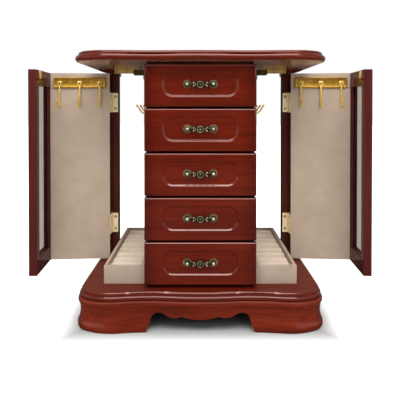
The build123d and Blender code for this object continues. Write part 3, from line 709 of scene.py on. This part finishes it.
# The lid's underside takes the light tan with its painted reflection
finish_level("lid_board", under_wood_and_reflection, -1)
finish_level("base_board_board", level_wood, 1)
for number in DRAWERS:
    boards([f"drawer_front_{number}"], front_wood, f"drawer_{number}", ease=0.8, segments=4)
    boards([f"drawer_box_{number}"], inner_wood, f"drawer_{number}", ease=0.5, slot="inner_wood")
for hand in SIDES:
    boards([f"door_panel_{hand}", f"door_frame_{hand}"], door_wood, f"door_{hand}", ease=0.7)
paint(nodes["tower_shelves"], inner_wood)
paint(nodes["base_glue_blocks"], inner_wood)


# Suede covers and linings

def suede_cover(node, body, finish):
    """A rounded copy of a covered or lined piece."""
    cover = eased_copy(node, node + "_suede", ease=0.6, segments=3)
    paint(cover, finish)
    fit(cover, body, "suede", node)


suede_cover("tower_linings", "case", grey_suede)
for hand in SIDES:
    suede_cover(f"ring_tray_{hand}", "case", pale_suede)
for hand in SIDES:
    suede_cover(f"door_lining_{hand}", f"door_{hand}", grey_suede)


# Ring rolls, in millimetres

TRAY_BED = (78.8, 128.3)
BED_CLEARANCE = 0.3
ROLLS = 8
ROLL_PITCH = 19.475
ROLL_SLOT = 1.6
ROLL_FRONT = -66.6
ROLL_LOW, ROLL_TOP = 54.3, 75.2
ROLL_ROUND = 4.6
ROLL_SLACK = 0.8
ROLL_VOXEL = 2.0
SWELL_SCALE = 10
STUFFING_PRESSURE = 4
STUFFING_FRAMES = 20


def ring_roll(x_low, x_high, y_low):
    """One stuffed roll: a slack cover swollen by Cloth under pressure, worked at a cushion's scale."""
    low = (x_low + ROLL_SLACK, y_low + ROLL_SLACK, ROLL_LOW + ROLL_SLACK)
    high = (x_high - ROLL_SLACK, y_low + ROLL_PITCH - ROLL_SLOT - ROLL_SLACK, ROLL_TOP - ROLL_SLACK)
    roll = block(low, high, ROLL_ROUND, segments=4)
    roll.scale = (SWELL_SCALE,) * 3
    settle(roll)
    apply_modifier(roll, "REMESH", mode="VOXEL", voxel_size=ROLL_VOXEL * SWELL_SCALE * MM)
    slack = [vertex.co.copy() for vertex in roll.data.vertices]
    cloth = roll.modifiers.new("stuffing", "CLOTH")
    cloth.settings.use_pressure = True
    cloth.settings.uniform_pressure_force = STUFFING_PRESSURE
    cloth.settings.effector_weights.gravity = 0
    for step in range(1, STUFFING_FRAMES + 1):
        bpy.context.scene.frame_set(step)
    pick(roll)
    bpy.ops.object.modifier_apply(modifier=cloth.name)
    bpy.context.scene.frame_set(1)
    most = ROLL_SLACK * SWELL_SCALE * MM
    for vertex, start in zip(roll.data.vertices, slack):
        move = vertex.co - start
        if move.length > most:
            vertex.co = start + move.normalized() * most
    roll.scale = (1 / SWELL_SCALE,) * 3
    settle(roll)
    return apply_modifier(roll, "SUBSURF", levels=1, render_levels=1)


roll_pattern = ring_roll(TRAY_BED[0] + BED_CLEARANCE, TRAY_BED[1] - BED_CLEARANCE, ROLL_FRONT)
bed_middle = sum(TRAY_BED) / 2
for hand, side in SIDES.items():
    rolls = []
    for index in range(ROLLS):
        roll = copy_of(roll_pattern, f"roll_{hand}_{index}")
        rolls.append(set_down(roll, moved(side * bed_middle - bed_middle, index * ROLL_PITCH, 0)))
    rolls = joined(rolls, f"ring_rolls_{hand}_suede")
    smooth(rolls, 180)
    paint(rolls, lit_roll_suede)
    fit(rolls, "case", "suede", f"ring_rolls_{hand}")
bpy.data.objects.remove(roll_pattern)


# Pad in the well and felts on the drawers' floors, in millimetres

BOX_FLOOR = 5.0
FELT_INSET_X, FELT_INSET_Y = 5.4, 5.5
FELT_THICKNESS = 1.4

well_pad = block(*corners("well_pad"), ease=1.2, segments=4)
well_pad.name = "well_pad_suede"
smooth(well_pad, 60)
paint(well_pad, grey_suede)
fit(well_pad, "case", "suede", "well_pad")

for number in DRAWERS:
    box_low, box_high = corners(f"drawer_box_{number}")
    felt_low = box_low + Vector((FELT_INSET_X, FELT_INSET_Y, BOX_FLOOR))
    felt_high = box_high - Vector((FELT_INSET_X, FELT_INSET_Y, 0))
    felt_high.z = felt_low.z + FELT_THICKNESS
    felt = block(felt_low, felt_high, ease=0.6)
    felt.name = f"drawer_felt_{number}"
    smooth(felt, 60)
    paint(felt, grey_suede)
    fit(felt, f"drawer_{number}", "suede")


# Cast pulls, in millimetres from the point on the drawer's field where they stand

PULL_FINISHES = (dark_brass, worn_brass, rubbed_brass)
DARK, WORN, RUBBED = range(3)
ROSETTE_X = 17.4
ROSETTE_PROFILE = ((5.3, 0), (5.3, 0.7), (4.9, 1.0), (3.2, 1.0), (2.4, 2.4), (1.9, 4.0))
ROSETTE_RING_Y, ROSETTE_RING = -1.7, (3.0, 0.6)
PETALS = 14
PETAL_CIRCLE = 4.6
PETAL_Y = -1.0
PETAL_SIZE = (1.75, 0.8, 0.42)
BALL_Y = -4.9
BALL_SIZE = (2.2, 2.35, 2.2)
BAIL_ENDS = (8.0, 16.0)
BAIL_LOW, BAIL_HIGH = (-4.7, -1.2), (-3.1, 1.2)
MEDALLION_Z = -0.6
MEDALLION_BACK_Y, MEDALLION_RING_Y, BOSS_Y = -2.9, -4.3, -3.8
MEDALLION_PROFILE = ((5.2, 0), (5.2, 0.9), (4.6, 1.3), (3.0, 1.3), (2.5, 0.7), (1.4, 0.7))
MEDALLION_RING = (3.9, 0.4)
BOSS_SIZE = (1.1, 0.9, 1.1)

# Place, half sizes, turn and finish of the right arm's knuckle, scrolls, vein and leaf
ARM_BEADS = (
    ((11.2, -4.0, 0.0), (1.2, 1.3, 2.2), 0.0, DARK),
    ((8.9, -4.5, -2.2), (0.75, 1.0, 1.25), -0.7, RUBBED),
    ((7.3, -4.3, -3.3), (1.7, 1.0, 1.0), 0.5, DARK),
    ((8.9, -4.5, 1.6), (0.75, 1.0, 1.25), 0.7, RUBBED),
    ((7.3, -4.3, 2.5), (1.7, 1.0, 1.0), -0.5, DARK),
    ((6.6, -4.6, -0.4), (0.6, 1.0, 1.6), 0.0, WORN),
    ((7.4, -3.5, -0.4), (3.0, 0.9, 3.3), 0.0, DARK),
)


def rosette(x):
    """A turned disc with a ring of petals and a ball post."""
    parts = [paint(turned_disc((x, 0, 0), ROSETTE_PROFILE), *PULL_FINISHES, use=DARK)]
    for step in range(PETALS):
        angle = 2 * math.pi * (step + 0.5) / PETALS
        centre = (x + PETAL_CIRCLE * math.cos(angle), PETAL_Y, PETAL_CIRCLE * math.sin(angle))
        parts.append(paint(bead(centre, PETAL_SIZE, -angle), *PULL_FINISHES, use=WORN))
    parts.append(paint(ring((x, ROSETTE_RING_Y, 0), *ROSETTE_RING), *PULL_FINISHES, use=DARK))
    parts.append(paint(bead((x, BALL_Y, 0), BALL_SIZE), *PULL_FINISHES, use=RUBBED))
    return parts


def bail_arm(side):
    """One arm of the bail, with the leaf and scrolls beside the medallion."""
    near, far = sorted(side * end for end in BAIL_ENDS)
    arm = block((near, *BAIL_LOW), (far, *BAIL_HIGH), ease=0.6)
    parts = [paint(arm, *PULL_FINISHES, use=DARK)]
    for (x, y, z), size, turn, finish in ARM_BEADS:
        parts.append(paint(bead((side * x, y, z), size, side * turn), *PULL_FINISHES, use=finish))
    return parts


def medallion():
    """A dished disc with a raised ring and a boss."""
    disc = turned_disc((0, MEDALLION_BACK_Y, MEDALLION_Z), MEDALLION_PROFILE)
    rim = ring((0, MEDALLION_RING_Y, MEDALLION_Z), *MEDALLION_RING)
    boss = bead((0, BOSS_Y, MEDALLION_Z), BOSS_SIZE)
    paint(disc, *PULL_FINISHES, use=DARK)
    for part in (rim, boss):
        paint(part, *PULL_FINISHES, use=WORN)
    return [disc, rim, boss]


def cast_pull():
    """Two rosettes joined by a bail, with a medallion in its middle."""
    parts = []
    for side in SIDES.values():
        parts += rosette(side * ROSETTE_X) + bail_arm(side)
    return smooth(joined(parts + medallion(), "pull_pattern"), 50)


pull_pattern = cast_pull()
for number in DRAWERS:
    low, high = corners(f"drawer_pull_{number}")
    pull = copy_of(pull_pattern, f"cast_pull_{number}")
    set_down(pull, moved(0, high.y, (low.z + high.z) / 2))
    fit(pull, f"drawer_{number}", "antique_brass", f"drawer_pull_{number}")
bpy.data.objects.remove(pull_pattern)


# Hook racks, in millimetres from the middle of the bar's back

RACK_FINISHES = (bright_brass, slot_shade_and_dull_brass, gilt_brass_and_painted_light)
BRIGHT, DULL, GILT = range(3)
BAR_HALF_LENGTH, BAR_HALF_HEIGHT, BAR_THICKNESS = 40.2, 8.0, 3.2
BAR = ((-BAR_HALF_LENGTH, -BAR_THICKNESS, -BAR_HALF_HEIGHT), (BAR_HALF_LENGTH, 0, BAR_HALF_HEIGHT))
BAR_RIM, BAR_SINK = 1.3, 0.5
FRONT_FACE = -0.9
HOOK_SPREAD = 31.2
HOOK_TAB = ((-3.6, -4.8, -6.6), (3.6, -3.2, 2.6))
HOOK_STRAP = ((-1.35, -5.2, -36.5), (1.35, -3.9, -4.0))
HOOK_WIRE = 1.15
HOOK_LINE = ((-4.5, -35.0), (-4.5, -36.5), (-4.6, -39.3), (-8.4, -38.4), (-11.5, -33.8), (-15.0, -28.8))
HOOK_TIP = (1.75, 1.6, 1.7)
COLLAR_PLACE, COLLAR = (-4.5, -34.6), (1.3, 0.55)
RIVET_PLACE = (-4.8, -1.6)
RIVET_PROFILE = ((1.2, 0), (1.2, 0.15), (0.5, 0.2))
RACK_SCREW_Y = -2.65
RACK_SCREW_PROFILE = ((1.7, 0), (1.7, 0.15), (1.36, 0.4), (0.51, 0.5))
# A dark bar in the dull brass, painted as the shade in the screw's slot
RACK_SCREW_SLOT = ((-1.275, -0.56, -0.22), (1.275, -0.2, 0.22))

# Where a door's rack hangs, in millimetres from the hinge's axis
LINING_FACE = -9.5
DOOR_RACK_REACH = 47.5


def rack_screw(x):
    """A domed screw facing the front, with a dark bar painted as the shade in its slot."""
    head = turned_disc((x, RACK_SCREW_Y, 0), RACK_SCREW_PROFILE, facets=20)
    slot = block(*shifted(RACK_SCREW_SLOT, x, RACK_SCREW_Y, 0), ease=0.05, segments=1)
    return [paint(head, *RACK_FINISHES, use=BRIGHT), paint(slot, *RACK_FINISHES, use=DULL)]


def rack_bar():
    """A bar with a sunk face inside a narrow rim."""
    bar = block(*BAR)
    pick(bar)
    bpy.ops.object.mode_set(mode="EDIT")
    bpy.ops.mesh.select_all(action="DESELECT")
    bpy.ops.object.mode_set(mode="OBJECT")
    for face in bar.data.polygons:
        face.select = face.normal.y < FRONT_FACE
    bpy.ops.object.mode_set(mode="EDIT")
    bpy.ops.mesh.inset(thickness=BAR_RIM * MM)
    bpy.ops.mesh.extrude_region_move(TRANSFORM_OT_translate={"value": (0, BAR_SINK * MM, 0)})
    bpy.ops.object.mode_set(mode="OBJECT")
    return paint(eased(bar, 0.35), *RACK_FINISHES, use=BRIGHT)


def hanging_hook(x):
    """A tab, a strap and a bent wire with a collar and a round tip, and the tab's dark rivet."""
    parts = [
        block(*shifted(HOOK_TAB, x, 0, 0), ease=0.7, segments=2),
        block(*shifted(HOOK_STRAP, x, 0, 0), ease=0.5, segments=2),
        wire([(x, y, z) for y, z in HOOK_LINE], HOOK_WIRE),
        ring((x, *COLLAR_PLACE), *COLLAR, lie_flat=True),
        bead((x, *HOOK_LINE[-1]), HOOK_TIP),
    ]
    for part in parts:
        paint(part, *RACK_FINISHES, use=GILT)
    rivet = turned_disc((x, *RIVET_PLACE), RIVET_PROFILE, facets=16)
    return [*parts, paint(rivet, *RACK_FINISHES, use=DULL)]


def hook_rack():
    """A moulded bar on a wall at y = 0 that faces the front, with three hanging hooks."""
    parts = [rack_bar()]
    for x in (-HOOK_SPREAD, 0, HOOK_SPREAD):
        parts += hanging_hook(x)
    for x in (-HOOK_SPREAD / 2, HOOK_SPREAD / 2):
        parts += rack_screw(x)
    return smooth(joined(parts, "rack_pattern"), 50)


def door_place(side, inward, forward, height):
    """A matrix that sets a front-facing shape on a door's inner face."""
    outward = Vector((side * math.cos(DOOR_ANGLE), math.sin(DOOR_ANGLE), 0))
    along = Vector((side * math.sin(DOOR_ANGLE), -math.cos(DOOR_ANGLE), 0))
    point = Vector((side * DOOR_AXIS.x, DOOR_AXIS.y, height)) + outward * inward + along * forward
    return moved(*point) @ Matrix.Rotation(-side * (math.pi / 2 - DOOR_ANGLE), 4, "Z")


def tower_place(side):
    """A matrix that sets a front-facing rack on the tower's outer side."""
    low, high = corners("tower_hook_rack_right")
    place = moved(side * low.x, (low.y + high.y) / 2, high.z - BAR_HALF_HEIGHT)
    return place @ Matrix.Rotation(side * math.pi / 2, 4, "Z")


rack_pattern = hook_rack()
door_rack_height = corners("door_hook_rack_right")[1].z - BAR_HALF_HEIGHT
for hand, side in SIDES.items():
    rack = copy_of(rack_pattern, f"door_rack_{hand}")
    set_down(rack, door_place(side, LINING_FACE, DOOR_RACK_REACH, door_rack_height))
    fit(rack, f"door_{hand}", "polished_brass", f"door_hook_rack_{hand}")
    rack = copy_of(rack_pattern, f"tower_rack_{hand}")
    set_down(rack, tower_place(side))
    fit(rack, "case", "polished_brass", f"tower_hook_rack_{hand}")
bpy.data.objects.remove(rack_pattern)


# Hinge plates and their screws, in millimetres

HINGE_HEIGHTS = (301.4, 107.1)
LEAF_SCREW_STEP = 9.6
LEAF_MIDDLE = 5.8
LEAF_FACE = 0.18
BRACKET_LOW = 347.9
BRACKET_SCREW_XS = (103.8, 119.6, 135.4)
BRACKET_SCREW_Z = 351.3
LID_HINGE_X = 89.5
LID_SCREW_STEP = 8.4
RAIL_SCREW_Y, RAIL_SCREW_Z = 91.88, 347.6
LID_SCREW_Y = 86.0
LID_LEAF_THICKNESS = 0.62
FACING_DOWN = Matrix.Rotation(math.pi / 2, 4, "X")
# The dark rim and slot below are painted shade, in the dull brass
SCREW_RIM_PROFILE = ((2.0, 0), (2.0, 0.04), (1.0, 0.06))
SCREW_HEAD_PROFILE = ((1.1, 0), (1.1, 0.07), (0.8, 0.10), (0.4, 0.11))
SCREW_SLOT = ((-1.2, -0.12, -0.2), (1.2, -0.03, 0.2))
FIRST_TURN, NEXT_TURN = 0.4, 0.7


def flush_screw():
    """A countersunk screw, nearly flush: a low head, with a dark rim and a dark slot bar painted as the
    shade of its countersink and slot.
    """
    rim = turned_disc((0, 0, 0), SCREW_RIM_PROFILE, facets=24)
    head = turned_disc((0, 0, 0), SCREW_HEAD_PROFILE, facets=24)
    slot = block(*SCREW_SLOT)
    paint(head, pale_brass_and_painted_light, slot_shade_and_dull_brass)
    for part in (rim, slot):
        paint(part, pale_brass_and_painted_light, slot_shade_and_dull_brass, use=1)
    return smooth(joined([rim, head, slot], "screw_pattern"), 40)


screw_pattern = flush_screw()


def screws(name, body, places):
    """Copies of the screw at these places, each turned its own way, as one piece."""
    heads = []
    for index, place in enumerate(places):
        head = copy_of(screw_pattern, f"{name}_{index}")
        heads.append(set_down(head, place @ Matrix.Rotation(NEXT_TURN * index + FIRST_TURN, 4, "Y")))
    fit(joined(heads, name), body, "polished_brass")


def hinge_plates(hand):
    """The case's hinge leaves, with the bracket under the lid in a brighter brass as painted light against
    the lid's shade.
    """
    plates = eased_copy(f"case_hinge_leaves_{hand}", f"case_leaves_{hand}", ease=0.15, segments=1)
    paint(plates, pale_brass_and_painted_light, gilt_brass_and_painted_light)
    # Painted light: the bracket's faces, in the lid's shade, take the brighter gilt brass
    for face in plates.data.polygons:
        if face.center.z > BRACKET_LOW * MM:
            face.material_index = 1
    fit(plates, "case", "polished_brass", f"case_hinge_leaves_{hand}")


leaf_y = DOOR_AXIS.y + LEAF_FACE
screw_levels = [height + step * LEAF_SCREW_STEP for height in HINGE_HEIGHTS for step in (-1, 1)]
for hand, side in SIDES.items():
    leaf_x = side * (DOOR_AXIS.x - LEAF_MIDDLE)
    to_leaf = Matrix.Rotation(-side * math.pi / 2, 4, "Z")
    screws(f"case_leaf_screws_{hand}", "case", [moved(leaf_x, leaf_y, z) for z in screw_levels])
    screws(f"door_leaf_screws_{hand}", f"door_{hand}",
           [door_place(side, -LEAF_MIDDLE, LEAF_FACE, z) @ to_leaf for z in screw_levels])
    hinge_plates(hand)
    screws(f"bracket_screws_{hand}", "case",
           [moved(side * x, leaf_y, BRACKET_SCREW_Z) for x in BRACKET_SCREW_XS])
lid_screw_xs = [side * LID_HINGE_X + step * LID_SCREW_STEP for side in SIDES.values() for step in (-1, 1)]
screws("rail_leaf_screws", "case", [moved(x, RAIL_SCREW_Y, RAIL_SCREW_Z) for x in lid_screw_xs])
screws("lid_leaf_screws", "lid",
       [moved(x, LID_SCREW_Y, LID_UNDER - LID_LEAF_THICKNESS) @ FACING_DOWN for x in lid_screw_xs])
bpy.data.objects.remove(screw_pattern)


# Finishes on the frame's own metal and glass

for name in ("hinge_pins", "rail_hinge_leaves", "lid_hinge_leaves"):
    paint(nodes[name], pale_brass_and_painted_light)
paint(nodes["door_catches"], slot_shade_and_dull_brass)
for hand in SIDES:
    paint(nodes[f"door_hinge_leaves_{hand}"], pale_brass_and_painted_light)
    paint(nodes[f"door_strike_{hand}"], gilt_brass_and_painted_light)
    paint(nodes[f"door_glass_{hand}"], pane)
